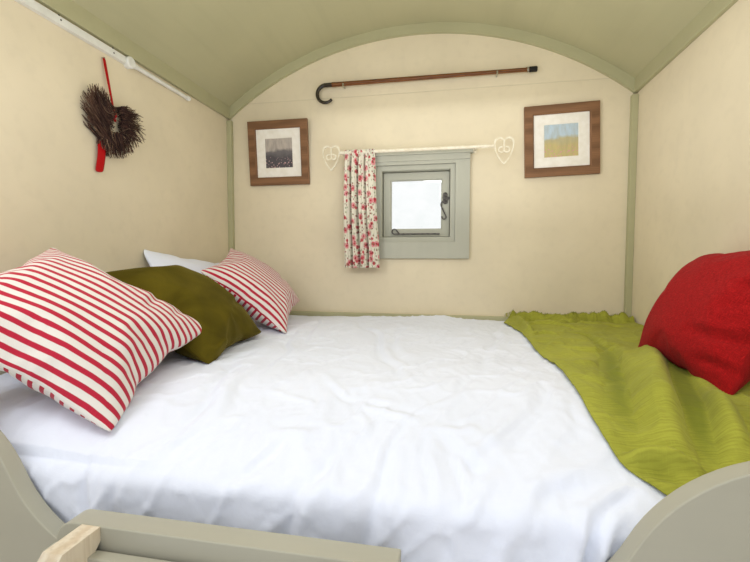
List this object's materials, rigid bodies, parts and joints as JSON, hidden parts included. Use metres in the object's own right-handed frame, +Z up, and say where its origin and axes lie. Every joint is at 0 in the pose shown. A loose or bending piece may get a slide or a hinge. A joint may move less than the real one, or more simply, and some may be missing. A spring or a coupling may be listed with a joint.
{
  "type": "shepherds hut sleeping end",
  "caption": "Barrel-roofed end bay of a timber shepherds hut with a small window, a built-in bed across it, bedding and a ladder.",
  "frame": {"origin": "on the ground, on the hut's centre line, under the end wall's inner face", "axes": "+X across the hut to the right seen from inside, +Y out through the end wall, +Z up"},
  "size_m": [2.2582, 2.17, 2.5398],
  "materials": {
    "bearer_oak": "sawn timber",
    "floor_pine": "varnished boards",
    "wall_paint": "matt paint on boards",
    "ceiling_paint": "matt paint on sheet",
    "roof_timber": "painted timber",
    "roof_metal": "painted corrugated sheet",
    "sage_paint": "satin paint on timber",
    "window_paint": "satin paint on timber",
    "pane": "clear",
    "iron": "forged, pewter patina",
    "pole_paint": "satin cream",
    "curtain_cloth": "printed cotton",
    "brown_wood": "stained moulding",
    "picture_card": "mount and print",
    "stick_wood": "varnished hazel",
    "horn": "polished horn",
    "black_rubber": "matt",
    "hook_metal": "bright",
    "twigs": "dry twigs",
    "red_ribbon": "satin ribbon",
    "white_plastic": "satin",
    "pine": "bare planed pine",
    "base_pine": "planed softwood",
    "ticking": "mattress cloth",
    "white_linen": "washed cotton",
    "red_stripe": "woven stripe cotton",
    "olive_velvet": "velvet",
    "red_wool": "woven wool",
    "green_throw": "brushed wool"
  },
  "bodies": {
    "root": {"floor_bearers": "bearer_oak", "floor_boards": "floor_pine", "left_wall": "wall_paint", "right_wall": "wall_paint", "end_wall": "wall_paint", "ceiling_lining": "ceiling_paint", "roof_deck": "roof_timber", "roof_sheet": "roof_metal", "bargeboard": "sage_paint", "corner_strips": "sage_paint", "cornices": "sage_paint", "arch_trim": "sage_paint", "bed_ledge": "sage_paint", "window_frame": "window_paint", "window_casing": "window_paint", "casement_sash": "window_paint", "window_glass": "pane", "casement_stay": "iron", "casement_fastener": "iron", "curtain_pole": "pole_paint", "pole_brackets": "pole_paint", "heart_finials": "pole_paint", "curtain": "curtain_cloth", "left_picture_frame": "brown_wood", "right_picture_frame": "brown_wood", "left_picture_panel": "picture_card", "right_picture_panel": "picture_card", "walking_stick": "stick_wood", "stick_crook": "horn", "stick_ferrule": "black_rubber", "stick_hooks": "hook_metal", "twig_heart": "twigs", "heart_ribbon": "red_ribbon", "ribbon_nail": "hook_metal", "cable_trunking": "white_plastic", "junction_box": "white_plastic", "tube_lamp": "white_plastic", "bed_front": "sage_paint", "centre_board": "sage_paint", "ladder_rail": "sage_paint", "ladder": "pine", "bed_battens": "base_pine", "bed_slats": "base_pine", "mattress": "ticking", "duvet": "white_linen", "throw": "green_throw", "rear_pillow": "white_linen", "front_pillow": "white_linen", "near_striped_cushion": "red_stripe", "far_striped_cushion": "red_stripe", "olive_cushion": "olive_velvet", "red_cushion": "red_wool"}
  },
  "joints": []
}
